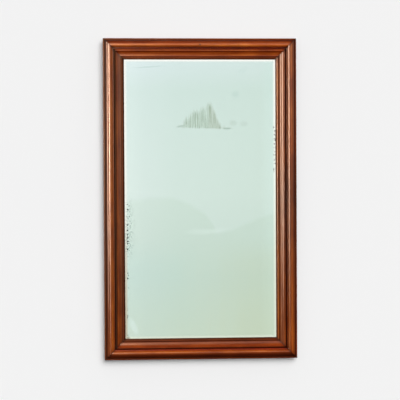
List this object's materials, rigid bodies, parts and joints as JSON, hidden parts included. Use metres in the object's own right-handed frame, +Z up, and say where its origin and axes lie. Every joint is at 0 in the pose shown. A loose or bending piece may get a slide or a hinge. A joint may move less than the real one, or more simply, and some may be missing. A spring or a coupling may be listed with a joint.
{
  "type": "bistro mirror",
  "caption": "Tall rectangular wall mirror: a bevelled plate in a wide mitred walnut moulding with a roll, cove and bead, on a boarded softwood frame with swinging ring hangers.",
  "frame": {"origin": "centre of the mirror's back, on the plane that lies on the wall", "axes": "+X to the viewer's right, +Z up, +Y into the wall; the glass faces -Y"},
  "size_m": [0.93, 0.056, 1.545],
  "materials": {
    "walnut": "french polished walnut",
    "softwood": "sawn and planed, aged",
    "oak": "riven pegs",
    "plate_glass": "polished plate, faint green, ground bevel",
    "silver_coat": "aged silvering with tarnish",
    "hanger_iron": "blackened wrought",
    "nail_iron": "rusted cut nails",
    "screw_steel": "dull, slotted"
  },
  "bodies": {
    "frame": {"back_board_1": "softwood", "back_board_2": "softwood", "back_board_3": "softwood", "back_board_4": "softwood", "back_board_5": "softwood", "back_board_6": "softwood", "back_board_7": "softwood", "board_nails": "nail_iron", "corner_keys": "softwood", "corner_pegs": "oak", "glazing_blocks_bottom": "softwood", "glazing_blocks_left": "softwood", "glazing_blocks_right": "softwood", "glazing_blocks_top": "softwood", "ground_rail_bottom": "softwood", "ground_rail_top": "softwood", "ground_stile_left": "softwood", "ground_stile_right": "softwood", "hanger_screws": "screw_steel", "hanger_strap_left": "hanger_iron", "hanger_strap_right": "hanger_iron", "mirror_glass": "plate_glass", "roll_moulding_bottom": "walnut", "roll_moulding_left": "walnut", "roll_moulding_right": "walnut", "roll_moulding_top": "walnut", "setting_shims": "softwood", "sight_moulding_bottom": "walnut", "sight_moulding_left": "walnut", "sight_moulding_right": "walnut", "sight_moulding_top": "walnut", "silvering": "silver_coat"},
    "ring_left": {"hanger_ring_left": "hanger_iron"},
    "ring_right": {"hanger_ring_right": "hanger_iron"}
  },
  "joints": [
    {"name": "ring_left_swing", "type": "hinge", "parent": "frame", "child": "ring_left", "pos_m": [-0.427, -0.0047, 0.4725], "axis": [-1, 0, 0], "range_deg": [0, 183]},
    {"name": "ring_right_swing", "type": "hinge", "parent": "frame", "child": "ring_right", "pos_m": [0.427, -0.0047, 0.4725], "axis": [-1, 0, 0], "range_deg": [0, 183]}
  ]
}
